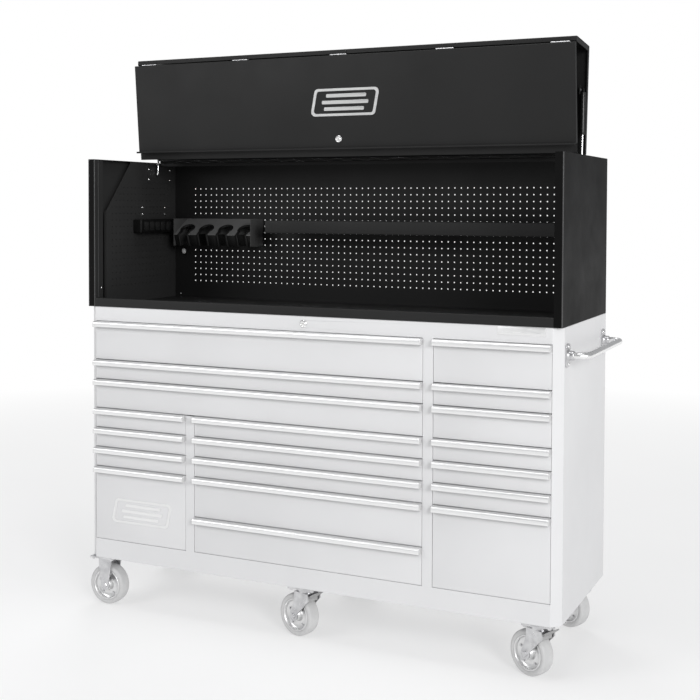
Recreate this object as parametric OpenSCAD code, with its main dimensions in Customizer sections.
// Rolling tool chest: a wheeled cabinet of drawers with a hutch on top.
// The hutch closes with a two-part lid: a folded top that swings up and back on gas struts,
// and a front door that hangs from the top's front edge and folds as the top rises.
// X runs right along the front, Y runs to the back, Z is up. Dimensions are worked out with
// the fronts on Y = 0 and then moved to the middle of the footprint. The lid is drawn open.

/* [Cabinet] */
// Width of the cabinet and of the hutch
cab_w = 1829; // [1700:1:1950]
// Depth of the cabinet and of the hutch
cab_d = 610; // [600:1:660]
// Height of the cabinet body
cab_h = 956; // [940:1:980]
// Thickness of the folded sheet metal
sheet = 1.5; // [1.2:0.1:1.8]
// Chamfer on the cabinet's two front corners
corner = 31; // [24:1:36]
// Width of the partitions between the drawer columns
partition_w = 36; // [30:1:44]
// Width of a side column of drawers
side_col = 402; // [360:1:430]
// Height of the header above the top drawers
header_h = 55; // [45:1:70]

/* [Drawers] */
// Height of the lowest drawer edge above the floor
row_bottom = 265; // [255:1:270]
// Pitch of the six upper rows, from the top down
row_pitch = [146, 74, 110, 74, 74, 74];
// Pitch of the upper deep drawer in the middle column
deep_pitch = 148; // [120:1:160]
// Gap between drawer fronts
gap = 4; // [3:0.5:6]
// Depth of a hollow drawer front
front_t = 18; // [14:1:22]
// Length of a drawer pan behind its front
pan_len = 540; // [480:1:560]
// Room for a slide at each side of a pan
slide_space = 13; // [12.5:0.1:14]
// Height of a cabinet slide member
rail_h = 35; // [30:1:38]

/* [Pulls and handle] */
// Reach of a drawer pull in front of the drawer
pull_out = 22; // [16:1:26]
// Height of a drawer pull
pull_h = 22; // [18:1:24]
// Radius of the push handle's tube
handle_r = 11; // [9:0.5:13]
// Distance of the tube's outside from the cabinet's side
handle_out = 77; // [65:1:90]

/* [Casters] */
// Height of the casters, floor to mounting face
caster_h = 190; // [186:1:196]
// Wheel radius
wheel_r = 76; // [70:1:77]
// Half the width of a wheel's tread
tread_half = 25; // [20:1:26]
// Distance from a swivel caster's kingpin to its axle
trail = 38; // [30:1:42]

/* [Hutch] */
// Height of the hutch above the cabinet
hutch_h = 556; // [540:1:580]
// Width of the hutch's front posts
post_w = 28.5; // [25:0.5:34]
// Distance of the pegboard from the front
peg_y = 550; // [530:1:570]
// Spacing of the pegboard holes
peg_pitch = 25.4; // [25:0.1:26]
// Radius of a pegboard hole
peg_r = 2.5; // [2:0.1:3.5]

/* [Lid] */
// Distance of the lid's hinge from the front
hinge_y = 430; // [420:1:440]
// How far the closed lid and door sit behind the posts' faces
closed_y = 48; // [46:1:50]
// Turn of the lid from closed to open, in degrees
lid_turn = 94.5; // [90:0.5:96]
// Backward lean of the open door's lower edge, in degrees
door_lean = 5; // [3:0.5:6]
// Half the width of the lid and of the door
lid_half = 882; // [878:1:883]
// Length of the door from its hinge to its lower edge
door_len = 372; // [360:1:373]
// Distance from the door's hinge down to its pull lip
lip_drop = 338; // [330:1:345]

/* [Hidden] */
half_w = cab_w / 2;
cab_top = caster_h + cab_h;
hutch_top = cab_top + hutch_h;
liner_x = half_w - corner;
mid_x = liner_x - side_col - partition_w;
inner_x = half_w - post_w;
first_top = cab_top - header_h;
pan_y = front_t + pan_len;
frame_depth = 25;
row_gap_bottom = row_bottom - gap;
fine = 48;
seam = 0.1;

function row_z(i) = i == 0 ? first_top : row_z(i - 1) - row_pitch[i - 1];
function side_edge(i) = i < 7 ? row_z(i) : row_gap_bottom;
function middle_edge(i) = i < 7 ? row_z(i) : i == 7 ? row_z(6) - deep_pitch : row_gap_bottom;

// Each drawer: name, left wall, right wall, lower edge, upper edge
DRAWERS = [
    for (i = [0:2]) [str("drawer_wide_", i + 1), -liner_x, mid_x, side_edge(i + 1) + gap, side_edge(i)],
    for (i = [3:6]) [str("drawer_left_", i - 2), -liner_x, -mid_x - partition_w,
                     side_edge(i + 1) + gap, side_edge(i)],
    for (i = [3:7]) [str("drawer_middle_", i - 2), -mid_x, mid_x,
                     middle_edge(i + 1) + gap, middle_edge(i)],
    for (i = [0:6]) [str("drawer_right_", i + 1), mid_x + partition_w, liner_x,
                     side_edge(i + 1) + gap, side_edge(i)]
];

// Casters: place, kingpin x, kingpin y, turn of the wheel; the left pair does not swivel
caster_inset_x = 52.5;
caster_inset_y = 57;
rear_y = cab_d - caster_inset_y;
right_x = half_w - 76.5;
FIXED_CASTERS = [
    ["front_left", -half_w + caster_inset_x, caster_inset_y, 0],
    ["rear_left", -half_w + caster_inset_x, rear_y, 0]
];
SWIVEL_CASTERS = [
    ["front_middle", -10, caster_inset_y, -16],
    ["front_right", right_x, caster_inset_y, -25],
    ["rear_middle", -10, rear_y, -16],
    ["rear_right", right_x, rear_y, -25]
];
plate_t = 6;
plate_x = 100;
plate_y = 114;
race_r = 36;
race_top = caster_h - plate_t;
race_bottom = race_top - 12;
kingpin_r = 8;
axle_r = 6;
axle_z = wheel_r;
running = 0.05;
leg_in = 29;
leg_t = 5;
leg_r = 18;
crown_top = race_bottom - 6;
crown_t = 6;
crown_low = crown_top - crown_t;
pedal_x = 22;
pedal_z = 149;
pedal_pin_r = 3;
shoulder = 9;

// The footprint runs from the left wheels to the push handle, and from the drawer pulls to the
// tread of the rear right wheel, which reaches furthest back as it is turned
rear_turn = abs(SWIVEL_CASTERS[3][3]);
rear_reach = rear_y + trail * sin(rear_turn) + (wheel_r - shoulder) * sin(rear_turn)
    + (tread_half - shoulder) * cos(rear_turn) + shoulder;
origin_x = (handle_out + caster_inset_x - wheel_r) / 2;
origin_y = (rear_reach - pull_out) / 2;

// Lid hinge line and the two pivots that move with the lid, as (y, z) with the lid closed
hinge_z = hutch_top + 4;
knuckle_r = 4;
hinge = [hinge_y, hinge_z];
door_pin = [closed_y + 20, cab_top + sheet + 2.5 + door_len];
door_pin_r = 1.6;
door_knuckle_r = 3.5;
flange = 16;
lid_stud = [206, hutch_top - 29];
wall_stud = [400, hutch_top - 46];
strut_x = 872;
stud_r = 4;
hinge_pitch = 413.5;
hinge_len = 65;
lid_hinge_pitch = 2 * (lid_half - 2) / 5;
lid_hinge_len = lid_hinge_pitch - 1;

function turned(p, c, a) = [
    c[0] + (p[0] - c[0]) * cos(a) - (p[1] - c[1]) * sin(a),
    c[1] + (p[0] - c[0]) * sin(a) + (p[1] - c[1]) * cos(a)
];
open_stud = turned(lid_stud, hinge, -lid_turn);
open_pin = turned(door_pin, hinge, -lid_turn);
strut_len = norm(open_stud - wall_stud);
strut_lean = atan2(open_stud[0] - wall_stud[0], open_stud[1] - wall_stud[1]);
gland_at = 122;
rod_end = 150;
lock_r = 10;
door_lock_z = door_pin[1] - 306;
cabinet_lock_z = cab_top - 26;

// ---------- helpers ----------

module place() translate([-origin_x, -origin_y, 0]) children();

// A block from its lowest to its highest corner
module block(a, b) translate(a) cube(b - a);

module both_sides() {
    children();
    mirror([1, 0, 0]) children();
}

// Extrudes an outline drawn as (y, z) along x, from x0 to x1
module along_x(x0, x1) translate([x0, 0, 0]) rotate([90, 0, 90]) linear_extrude(x1 - x0) children();

// Turns a thing about a line along x through c, given as (y, z)
module turn_x(c, a)
    translate([0, c[0], c[1]]) rotate([a, 0, 0]) translate([0, -c[0], -c[1]]) children();

module rod_x(x0, x1, y, z, r)
    translate([x0, y, z]) rotate([0, 90, 0]) cylinder(h = x1 - x0, r = r, $fn = fine);

module rod_y(y0, y1, x, z, r, n = fine)
    translate([x, y0, z]) rotate([-90, 0, 0]) cylinder(h = y1 - y0, r = r, $fn = n);

module as_open_lid() turn_x(hinge, -lid_turn) children();

module as_open_door()
    translate([0, open_pin[0] - door_pin[0], open_pin[1] - door_pin[1]])
        turn_x(door_pin, door_lean) children();

module rounded_rect(w, h, r) {
    square([w - 2 * r, h], center = true);
    square([w, h - 2 * r], center = true);
    for (x = [-1, 1], y = [-1, 1]) translate([x * (w / 2 - r), y * (h / 2 - r)]) circle(r, $fn = fine);
}

// ---------- cabinet ----------

// Two outer side sheets with folded edges at the top and bottom
module cabinet_sides() color("gainsboro") both_sides() {
    block([half_w - sheet, corner + 1, caster_h], [half_w, cab_d, cab_top - sheet]);
    block([liner_x + 3, corner + 1, caster_h], [half_w, cab_d - 2, caster_h + sheet]);
}

module cabinet_back() color("gainsboro")
    block([-half_w + sheet + 0.2, cab_d - sheet, caster_h + sheet + 0.2],
          [half_w - sheet - 0.2, cab_d, cab_top - sheet - 0.2]);

// The top sheet, with the cabinet's chamfered front corners
module cabinet_top() color("gainsboro") translate([0, 0, cab_top - sheet]) linear_extrude(sheet)
    polygon([[-liner_x, 0], [liner_x, 0], [half_w, corner],
             [half_w, cab_d], [-half_w, cab_d], [-half_w, corner]]);

// The bottom sheet and three cross channels that carry the casters
module cabinet_floor() color("gainsboro") {
    difference() {
        block([-liner_x - 2, frame_depth, caster_h], [liner_x + 2, cab_d - 2, caster_h + sheet]);
        both_sides() block([liner_x - seam, 0, caster_h - 1], [half_w, corner + seam, cab_top]);
    }
    for (x = [-half_w + caster_inset_x + 40, -10, right_x - 14])
        difference() {
            block([x - 55, frame_depth + 4, caster_h + sheet], [x + 55, cab_d - 6, caster_h + 42]);
            block([x - 52, frame_depth + 3, caster_h], [x + 52, cab_d, caster_h + 39]);
        }
}

// Triangular tube behind each chamfered corner
module corner_post() {
    s = sheet;
    translate([liner_x, 0, caster_h]) linear_extrude(cab_h - sheet) difference() {
        polygon([[0, 0], [corner, corner], [0, corner]]);
        polygon([[s, s + s * sqrt(2)], [corner - s - s * sqrt(2), corner - s], [s, corner - s]]);
    }
}

// A folded channel seen from the front as a plain face
module face_channel(x0, x1, z0, z1) difference() {
    block([x0, 0, z0], [x1, frame_depth, z1]);
    if (x1 - x0 > z1 - z0) block([x0 - 1, sheet, z0 + sheet], [x1 + 1, frame_depth + 1, z1 - sheet]);
    else block([x0 + sheet, sheet, z0 - 1], [x1 - sheet, frame_depth + 1, z1 + 1]);
}

// Header with the lock hole, base rail, two dividers and the chamfered corner posts
module front_frame() color("gainsboro") {
    difference() {
        face_channel(-liner_x, liner_x, first_top + gap / 2, cab_top - sheet);
        rod_y(-1, frame_depth, 0, cabinet_lock_z, lock_r + running);
    }
    face_channel(-liner_x, liner_x, caster_h, row_bottom - gap / 2);
    face_channel(mid_x, mid_x + partition_w, row_bottom - gap / 2, first_top + gap / 2);
    face_channel(-mid_x - partition_w, -mid_x, row_bottom - gap / 2, row_z(3));
    both_sides() corner_post();
}

// Inner walls that the slides are screwed to: one against each side, two to each partition
module inner_walls() color("silver") {
    y0 = frame_depth + 0.2;
    z0 = caster_h + 42.2;
    both_sides() block([liner_x, corner + 0.2, z0], [liner_x + sheet, cab_d - 8, cab_top - 4]);
    for (x = [mid_x, mid_x + partition_w - sheet])
        block([x, y0, z0], [x + sheet, cab_d - 8, cab_top - 4]);
    for (x = [-mid_x - partition_w, -mid_x - sheet])
        block([x, y0, z0], [x + sheet, cab_d - 8, row_z(3)]);
}

// One C-shaped slide member of height h and depth d, its back on x = 0 and its lips towards +x
module slide_member(h, d) difference() {
    block([0, 0, -h / 2], [d, pan_len - 6, h / 2]);
    block([sheet, -1, -h / 2 + sheet], [d + 1, pan_len, h / 2 - sheet]);
}

function slide_z(d) = d[3] + 6 + rail_h / 2;

// Cabinet halves of the slides, a pair to each drawer
module slide_rails() color("lightsteelblue") for (d = DRAWERS) {
    translate([d[1], frame_depth + 2, slide_z(d)]) slide_member(rail_h, 8.5);
    translate([d[2], frame_depth + 2, slide_z(d)]) mirror([1, 0, 0]) slide_member(rail_h, 8.5);
}

// ---------- drawers ----------

// Section of a pull as (reach, height below the drawer's top edge)
module pull_section() {
    t = 2;
    r = pull_out / 2;
    translate([0, -pull_h]) square([t, pull_h]);
    translate([0, -t]) square([pull_out - r, t]);
    translate([pull_out - r, -r]) intersection() {
        difference() {
            circle(r, $fn = fine);
            circle(r - t, $fn = fine);
        }
        square(r);
    }
    translate([pull_out - t, -pull_h + 2]) square([t, pull_h - 2 - r]);
}

// A drawer: hollow front, open pan, full-width pull and the inner slide members
module drawer(d) {
    x0 = d[1];
    x1 = d[2];
    z0 = d[3];
    z1 = d[4];
    s = sheet;
    side = 2;
    color("gainsboro") difference() {
        block([x0 + side, 0, z0], [x1 - side, front_t, z1]);
        block([x0 + side + s, s, z0 + s], [x1 - side - s, front_t + 1, z1 - s]);
    }
    color("silver") difference() {
        block([x0 + slide_space, front_t + seam, z0 + 4], [x1 - slide_space, pan_y, z1 - 14]);
        block([x0 + slide_space + s, front_t + seam + s, z0 + 4 + s],
              [x1 - slide_space - s, pan_y - s, z1]);
    }
    color("whitesmoke") translate([x1 - side, -seam, z1]) rotate([0, 0, 180])
        along_x(0, x1 - x0 - 2 * side) pull_section();
    color("lightsteelblue") {
        translate([x0 + slide_space - seam, frame_depth + 2, slide_z(d)]) mirror([1, 0, 0])
            slide_member(rail_h - 9, 8);
        translate([x1 - slide_space + seam, frame_depth + 2, slide_z(d)])
            slide_member(rail_h - 9, 8);
    }
}

// ---------- push handle ----------

handle_z = cab_top - 92;
handle_y0 = 62;
handle_y1 = 560;
bend = 34;

module bend_tube(x, y, a) translate([x, y, handle_z]) rotate([0, 0, a])
    rotate_extrude(angle = 90, $fn = 64) translate([bend, 0]) circle(handle_r, $fn = fine);

// A bowed tube along the right side, with an elbow into each bracket
module push_handle() color("whitesmoke") {
    x = half_w + handle_out - handle_r;
    stub = half_w + 6;
    rod_y(handle_y0 + bend, handle_y1 - bend, x, handle_z, handle_r);
    for (y = [handle_y0, handle_y1]) rod_x(stub, x - bend, y, handle_z, handle_r);
    bend_tube(x - bend, handle_y0 + bend, -90);
    bend_tube(x - bend, handle_y1 - bend, 0);
}

// Flanges bolted to the side, each with a socket around the tube's end and two bolts
module handle_brackets() color("silver") for (y = [handle_y0, handle_y1]) {
    translate([half_w, y, handle_z]) rotate([90, 0, 90]) linear_extrude(5) rounded_rect(46, 76, 8);
    difference() {
        rod_x(half_w + 5, half_w + 24, y, handle_z, handle_r + 4);
        rod_x(half_w + 6, half_w + 25, y, handle_z, handle_r);
    }
    for (z = [-28, 28]) rod_x(half_w + 5, half_w + 9, y, handle_z + z, 5);
}

// ---------- casters ----------

module at_caster(c) translate([c[1], c[2], 0]) rotate([0, 0, c[3]]) children();

// Mounting plates with their bolt heads; a swivel caster's plate carries its raceway and kingpin
module caster_plates() color("silver") {
    for (c = concat(FIXED_CASTERS, SWIVEL_CASTERS)) translate([c[1], c[2], 0]) {
        block([-plate_x / 2, -plate_y / 2, race_top], [plate_x / 2, plate_y / 2, caster_h]);
        for (x = [-1, 1], y = [-1, 1])
            translate([x * (plate_x / 2 - 9), y * (plate_y / 2 - 10), race_top - 5])
                cylinder(h = 5, r = 7, $fn = 6);
    }
    for (c = SWIVEL_CASTERS) translate([c[1], c[2], 0]) {
        translate([0, 0, race_bottom]) cylinder(h = race_top - race_bottom, r = race_r, $fn = 64);
        translate([0, 0, crown_low - 3])
            cylinder(h = race_bottom - crown_low + 3, r = kingpin_r, $fn = fine);
        translate([0, 0, crown_low - 5]) cylinder(h = 4.4, r = 13, $fn = fine);
    }
}

// Outline of a fork leg as (x, z): a wide top at x = top, narrowing to an eye around the axle
module leg_outline(x_axle, x0, x1, z1) {
    polygon([[x0, z1], [x1, z1], [x1, z1 - 26], [x_axle + leg_r - 2, axle_z + 6],
             [x_axle - leg_r + 2, axle_z - 6], [x_axle - leg_r, axle_z + 4], [x0, z1 - 30]]);
    translate([x_axle, axle_z]) circle(leg_r, $fn = fine);
}

module fork_legs(x_axle, x0, x1, z1) {
    for (y = [-leg_in - leg_t, leg_in])
        translate([0, y + leg_t, 0]) rotate([90, 0, 0]) linear_extrude(leg_t)
            leg_outline(x_axle, x0, x1, z1);
    rod_y(-leg_in - leg_t, leg_in + leg_t, x_axle, axle_z, axle_r);
    for (y = [-leg_in - leg_t - 5, leg_in + leg_t]) rod_y(y, y + 5, x_axle, axle_z, 10, 6);
}

// The two fixed forks under the left end, with their axle bolts
module rigid_forks() color("silver") for (c = FIXED_CASTERS) at_caster(c) {
    fork_legs(0, -28, 28, race_top);
    block([-28, -leg_in, race_top - 5], [28, leg_in, race_top]);
}

// A swivelling fork: crown on the kingpin, two legs, axle bolt and the brake pedal's pin
module fork(c) color("silver") at_caster(c) {
    difference() {
        union() {
            fork_legs(-trail, -34, 32, crown_top);
            block([-34, -leg_in, crown_low], [32, leg_in, crown_top]);
            translate([0, 0, crown_top]) cylinder(h = 5.5, r = race_r - 2, $fn = 64);
        }
        translate([0, 0, crown_low - 1]) cylinder(h = 20, r = kingpin_r + running, $fn = fine);
    }
    rod_y(-leg_in - leg_t, leg_in + leg_t, pedal_x, pedal_z, pedal_pin_r);
}

// A wheel: tread with round shoulders, a dished web and a hub bored for the axle
module wheel(c, x_axle) color("dimgray") at_caster(c) translate([x_axle, 0, axle_z]) rotate([90, 0, 0])
    rotate_extrude($fn = 96) {
        r = shoulder;
        rim = wheel_r - 18;
        translate([rim, -tread_half]) square([18 - r, 2 * tread_half]);
        translate([rim, -tread_half + r]) square([18, 2 * (tread_half - r)]);
        for (y = [-1, 1]) translate([wheel_r - r, y * (tread_half - r)]) circle(r, $fn = fine);
        translate([rim - 5, -tread_half + 3]) square([6, 2 * (tread_half - 3)]);
        translate([20, -7]) square([rim - 20, 14]);
        translate([axle_r + running, -leg_in + 1]) square([16, 2 * (leg_in - 1)]);
    }

// Foot lever of the wheel brake, with the shoe that swings towards the tread
module brake_pedal(c) color("dimgray") at_caster(c) translate([pedal_x, 0, pedal_z]) {
    w = leg_in - 3;
    difference() {
        union() {
            rod_y(-w, w, 0, 0, 6);
            rotate([90, 0, 0]) linear_extrude(2 * w, center = true)
                polygon([[0, 2], [3, -4], [33, 18], [31, 22]]);
            block([-3, -w, -15], [3, w, 0]);
            rod_y(-w, w, 0, -14.5, 3);
        }
        rod_y(-w - 1, w + 1, 0, 0, pedal_pin_r + running);
    }
}

// ---------- hutch ----------

peg_z0 = cab_top + 71;
peg_rows = 16;
peg_half = 31;
cord_hole_x = -844;
cord_hole_r = 11;

// Side panels: an outer sheet, a stepped front post and closed ends
module hutch_sides() color([0.12, 0.12, 0.12]) both_sides() {
    translate([0, 0, cab_top]) linear_extrude(hutch_h) {
        translate([half_w - sheet, 0]) square([sheet, cab_d]);
        translate([inner_x, 0]) square([post_w, sheet]);
        translate([inner_x, 0]) square([sheet, 25]);
        translate([inner_x, 25 - sheet]) square([4, sheet]);
        translate([inner_x + 4 - sheet, 25 - sheet]) square([sheet, 31.5]);
        translate([inner_x + 4 - sheet, 55 - sheet]) square([12, sheet]);
        translate([inner_x + 6, cab_d - sheet]) square([post_w - 6, sheet]);
    }
    block([inner_x, 0, hutch_top - sheet], [half_w, cab_d, hutch_top]);
    block([inner_x + 3, 26, cab_top], [half_w, cab_d, cab_top + sheet]);
}

liner_y0 = closed_y + 24;
liner_y1 = peg_y - 1;
liner_z0 = cab_top + sheet + 0.2;
liner_z1 = hutch_top - sheet - 0.2;
slope_y = 235;
slope_z = cab_top + 361;

// Lowest y that is inside the liner's slanted front edge at height z
function liner_front(z) = z < slope_z ? liner_y0
    : liner_y0 + (z - slope_z) * (slope_y - liner_y0) / (liner_z1 - slope_z);

module liner_outline() polygon([
    [liner_y0, liner_z0], [liner_y1, liner_z0], [liner_y1, liner_z1], [slope_y, liner_z1],
    [liner_y0, slope_z]
]);

// Perforated inner side panels, each with the bolted plate and stud that a gas strut turns on
module hutch_liners() color([0.1, 0.1, 0.1]) both_sides() {
    along_x(inner_x, inner_x + sheet) difference() {
        liner_outline();
        for (j = [0:peg_rows - 1], i = [0:15]) {
            y = liner_y0 + 38 + i * peg_pitch;
            z = peg_z0 + j * peg_pitch;
            if (y > liner_front(z) + 18) translate([y, z]) circle(peg_r, $fn = 24);
        }
    }
    block([inner_x + sheet, liner_y0, liner_z0], [inner_x + 10, liner_y0 + sheet, slope_z]);
    translate([-seam, 0, 0]) {
        block([inner_x - 3, 336, hutch_top - 82], [inner_x, 519, hutch_top - 15]);
        rod_x(strut_x - 5, inner_x - 3, wall_stud[0], wall_stud[1], stud_r);
    }
}

// Back panel punched with a square grid of hook holes and one hole for a power lead
module pegboard() color([0.1, 0.1, 0.1])
    translate([0, peg_y + sheet, 0]) rotate([90, 0, 0]) linear_extrude(sheet) difference() {
        translate([-inner_x, cab_top + sheet + 0.2]) square([2 * inner_x, hutch_h - 2 * sheet - 0.4]);
        for (i = [-peg_half:peg_half], j = [0:peg_rows - 1])
            translate([i * peg_pitch, peg_z0 + j * peg_pitch]) circle(peg_r, $fn = 24);
        translate([cord_hole_x, cab_top + 193]) circle(cord_hole_r, $fn = fine);
    }

// Fixed rear part of the top, folded down at the hinge and at the back
module hutch_roof() color([0.12, 0.12, 0.12]) along_x(-inner_x + 0.2, inner_x - 0.2) {
    translate([hinge_y + 1, hutch_top - sheet]) square([cab_d - hinge_y - 1, sheet]);
    translate([hinge_y + 1, hutch_top - 14]) square([sheet, 14]);
    translate([cab_d - sheet, hutch_top - 62]) square([sheet, 62]);
}

// Floor sheet and the front sill
module hutch_floor() color([0.1, 0.1, 0.1]) along_x(-inner_x + 0.2, inner_x - 0.2) {
    translate([0, cab_top]) square([peg_y - 0.3, sheet]);
    translate([0, cab_top]) square([sheet, 32]);
    translate([0, cab_top + 32 - sheet]) square([20, sheet]);
    translate([20 - sheet, cab_top + sheet]) square([sheet, 32 - sheet]);
}

rack_x0 = -826;
rack_x1 = -464;
shelf_gap = 90;

// Shelf with a deep front lip, from a hand's width past the tool rack to the right side
module hutch_shelf() color([0.13, 0.13, 0.13]) along_x(rack_x1 + shelf_gap, inner_x - 0.2) {
    translate([peg_y - 150, cab_top + 326 - sheet]) square([149.8, sheet]);
    translate([peg_y - 150, cab_top + 276]) square([sheet, 50]);
    translate([peg_y - 150, cab_top + 276]) square([12, sheet]);
    translate([peg_y - 0.2 - sheet, cab_top + 296]) square([sheet, 30]);
}

rack_t = 2;
rack_y0 = peg_y - 106;
rack_z0 = cab_top + 219;
rack_z1 = cab_top + 329;
fold_z = cab_top + 265;
lip_set = 16;
rack_run = peg_y - 2 - rack_y0;
rack_lean = atan2(rack_z1 - fold_z, rack_run);
fold_half = (rack_lean + 90 - atan2(lip_set, fold_z - rack_z0)) / 2;
fold_in = rack_t / sin(fold_half) * [cos(rack_lean - fold_half), sin(rack_lean - fold_half)];
rack_pitch = (rack_x1 - rack_x0) / 4;
notch_y = 42;
notch_r = 27;
throat = 21;

// Sheet of the rack in section: it slopes down to the front and folds back into a lip
module rack_section() polygon([
    [rack_y0 + rack_run, rack_z1],
    [rack_y0, fold_z],
    [rack_y0 + lip_set, rack_z0],
    [rack_y0 + lip_set + rack_t, rack_z0],
    [rack_y0, fold_z] + fold_in,
    [rack_y0 + rack_run, rack_z1 - rack_t / cos(rack_lean)],
]);

// Rack for four air tools: a folded sheet with keyhole notches open at its lip, and two end plates
module tool_rack() color([0.2, 0.2, 0.2]) {
    difference() {
        along_x(rack_x0 + 1, rack_x1 - 1) rack_section();
        for (i = [0:3]) translate([rack_x0 + (i + 0.5) * rack_pitch, rack_y0, 0]) {
            translate([0, 0, fold_z]) rotate([rack_lean, 0, 0]) translate([0, notch_y, -3 * rack_t])
                cylinder(h = 6 * rack_t, r = notch_r, $fn = fine);
            block([-throat, -1, rack_z0 - 1], [throat, notch_y * cos(rack_lean), rack_z1]);
        }
    }
    for (x = [rack_x0, rack_x1 - rack_t]) block([x, rack_y0, rack_z0], [x + rack_t, peg_y - 1, rack_z1]);
    block([rack_x0 + 1, peg_y - 1 - rack_t, rack_z0], [rack_x1 - 1, peg_y - 1, rack_z1]);
}

strip_y0 = 246;
strip_y1 = 513;
strip_z0 = cab_top + 273;
strip_z1 = cab_top + 327;

// Power strip on the left wall with a row of shallow sockets
module power_strip() color([0.16, 0.16, 0.16]) difference() {
    block([-inner_x + 0.2, strip_y0, strip_z0], [-inner_x + 40, strip_y1, strip_z1]);
    for (i = [0:5])
        translate([-inner_x + 36, strip_y0 + 36 + i * 39, (strip_z0 + strip_z1) / 2])
            rotate([90, 0, 90]) linear_extrude(5) rounded_rect(30, 34, 4);
}

// ---------- lid ----------

hinge_gap = 0.5;

// Fixed leaves, outer knuckles and pins of the rear hinge, which is in five lengths
module lid_hinges() color("silver") for (i = [-2:2]) translate([i * lid_hinge_pitch, 0, 0]) {
    x = lid_hinge_len / 2;
    k = lid_hinge_len / 6;
    block([-x, hinge_y + 5, hutch_top], [x, hinge_y + 32, hutch_top + 1.2]);
    for (a = [-x, k + hinge_gap]) {
        rod_x(a, a + x - k - hinge_gap, hinge_y, hinge_z, knuckle_r);
        block([a, hinge_y, hutch_top], [a + x - k - hinge_gap, hinge_y + 6, hutch_top + 1.2]);
    }
    rod_x(-x, x, hinge_y, hinge_z, 2);
}

// The moving half of one length of the rear hinge
module lid_hinge_leaf() {
    x = lid_hinge_len / 2;
    k = lid_hinge_len / 6;
    block([-x, hinge_y - 32, hutch_top], [x, hinge_y - 5, hutch_top + 1.2]);
    difference() {
        union() {
            rod_x(-k, k, hinge_y, hinge_z, knuckle_r);
            block([-k, hinge_y - 6, hutch_top], [k, hinge_y, hutch_top + 1.2]);
        }
        rod_x(-k - 1, k + 1, hinge_y, hinge_z, 2 + running);
    }
}

// The folded top: a top sheet and a front cap at right angles, flanged all round
module lid() color([0.12, 0.12, 0.12]) as_open_lid() {
    rear = hinge_y - 3;
    low = door_pin[1] + 1.5;
    along_x(-lid_half, lid_half) {
        translate([closed_y, hutch_top - sheet]) square([rear - closed_y, sheet]);
        translate([closed_y, low]) square([sheet, hutch_top - low]);
        translate([closed_y, low]) square([flange, sheet]);
        translate([rear - sheet, hutch_top - 18]) square([sheet, 18]);
    }
    for (x = [-lid_half, lid_half - sheet]) along_x(x, x + sheet) {
        translate([closed_y, hutch_top - 18]) square([rear - closed_y, 18]);
        translate([closed_y, low]) square([18, hutch_top - low]);
    }
    for (i = [-2:2]) translate([i * lid_hinge_pitch, 0, 0]) lid_hinge_leaf();
    both_sides() {
        block([strut_x - 12, lid_stud[0] - 16, lid_stud[1] - 10],
              [strut_x - 9, lid_stud[0] + 16, hutch_top - sheet]);
        rod_x(strut_x - 9, strut_x - 4, lid_stud[0], lid_stud[1], stud_r);
    }
}

// Leaves, outer knuckles and pins of the five hinges along the cap's lower edge
module door_hinges() color("whitesmoke") as_open_lid()
    for (i = [-2:2]) translate([i * hinge_pitch, 0, 0]) {
        x = hinge_len / 2;
        k = hinge_len / 6;
        z = door_pin[1];
        w = x - k - hinge_gap;
        block([-x, closed_y + 2, z + 0.3], [x, closed_y + flange - 0.5, z + 1.5]);
        for (a = [-x, k + hinge_gap]) {
            rod_x(a, a + w, door_pin[0], z, door_knuckle_r);
            block([a, closed_y + flange - 1, z + 0.3], [a + w, door_pin[0], z + 1.5]);
        }
        rod_x(-x, x, door_pin[0], z, door_pin_r);
    }

// The moving half of one door hinge
module door_hinge_leaf() {
    x = hinge_len / 2;
    k = hinge_len / 6;
    z = door_pin[1];
    block([-x, closed_y + 2, z - 1.5], [x, closed_y + flange - 0.5, z - 0.3]);
    difference() {
        union() {
            rod_x(-k, k, door_pin[0], z, door_knuckle_r);
            block([-k, closed_y + flange - 1, z - 1.5], [k, door_pin[0], z - 0.3]);
        }
        rod_x(-k - 1, k + 1, door_pin[0], z, door_pin_r + running);
    }
}

// The front door: face, side flanges, the full-width pull lip and the set-back lower edge
module door() color([0.12, 0.12, 0.12]) as_open_door() {
    top = door_pin[1] - 1.5;
    lip = door_pin[1] - lip_drop;
    low = door_pin[1] - door_len;
    difference() {
        along_x(-lid_half, lid_half) {
            translate([closed_y, top - sheet]) square([flange, sheet]);
            translate([closed_y, lip]) square([sheet, top - lip]);
            translate([closed_y - 19, lip - sheet]) square([29 + sheet, sheet]);
            translate([closed_y - 19, lip - 7]) square([sheet, 7]);
            translate([closed_y + 10, low]) square([sheet, lip - low]);
            translate([closed_y + 10, low]) square([10, sheet]);
        }
        rod_y(closed_y - 1, closed_y + 3, 0, door_lock_z, lock_r + running);
    }
    for (x = [-lid_half, lid_half - sheet]) along_x(x, x + sheet)
        translate([closed_y, lip - sheet]) square([flange, top - lip + sheet]);
    for (i = [-2:2]) translate([i * hinge_pitch, 0, 0]) door_hinge_leaf();
}

// ---------- gas struts ----------

module along_strut(x)
    translate([x, wall_stud[0], wall_stud[1]]) rotate([-strut_lean, 0, 0]) children();

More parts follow.
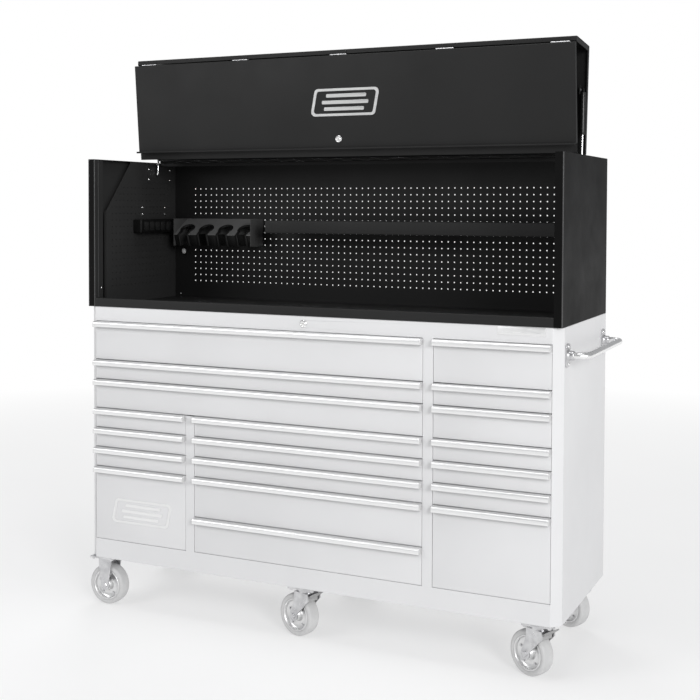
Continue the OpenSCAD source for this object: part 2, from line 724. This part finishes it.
// Eye on the wall stud, polished rod and the piston inside the cylinder
module strut_rods() color("whitesmoke") for (x = [-strut_x, strut_x]) along_strut(x) {
    difference() {
        union() {
            rod_x(-4, 4, 0, 0, 8);
            cylinder(h = 14, r = 4, $fn = fine);
        }
        rod_x(-5, 5, 0, 0, stud_r + running);
    }
    translate([0, 0, 7]) cylinder(h = rod_end - 7, r = 4, $fn = fine);
    translate([0, 0, rod_end - 8]) cylinder(h = 8, r = 7.4, $fn = fine);
}

// Black cylinder with its gland at the lower end and its eye at the upper end
module strut_cylinders() color([0.12, 0.12, 0.12]) for (x = [-strut_x, strut_x]) along_strut(x) {
    difference() {
        translate([0, 0, gland_at]) cylinder(h = strut_len - gland_at - 6, r = 9, $fn = fine);
        translate([0, 0, gland_at + 10]) cylinder(h = strut_len - gland_at - 28, r = 7.45, $fn = fine);
        translate([0, 0, gland_at - 1]) cylinder(h = 20, r = 4 + running, $fn = fine);
    }
    rod_x(-3.6, 3.6, 0, strut_len, 8);
}

// ---------- locks ----------

// Round key lock facing the front: bezel, keyed plug and a short cam behind the sheet
module lock(y, z) color("whitesmoke") {
    difference() {
        union() {
            rod_y(y - 3.3, y - 0.3, 0, z, lock_r + 3);
            rod_y(y - 3, y + 14, 0, z, lock_r);
        }
        block([-1, y - 4, z - 5], [1, y - 1, z + 5]);
    }
    block([-7, y + 10, z - 7], [7, y + 13, z + 20]);
}

module door_lock() as_open_door() lock(closed_y, door_lock_z);

module cabinet_lock() lock(0, cabinet_lock_z);

// ---------- the parts, one line to a node ----------

place() cabinet_sides();
place() cabinet_back();
place() cabinet_top();
place() cabinet_floor();
place() front_frame();
place() inner_walls();
place() slide_rails();
place() push_handle();
place() handle_brackets();
place() caster_plates();
place() rigid_forks();
place() hutch_sides();
place() hutch_liners();
place() pegboard();
place() hutch_roof();
place() hutch_floor();
place() hutch_shelf();
place() tool_rack();
place() power_strip();
place() lid_hinges();
place() lid();
place() door_hinges();
place() door();
place() strut_rods();
place() strut_cylinders();
place() door_lock();
place() cabinet_lock();
for (d = DRAWERS) place() drawer(d);
for (c = FIXED_CASTERS) place() wheel(c, 0);
for (c = SWIVEL_CASTERS) {
    place() wheel(c, -trail);
    place() fork(c);
    place() brake_pedal(c);
}
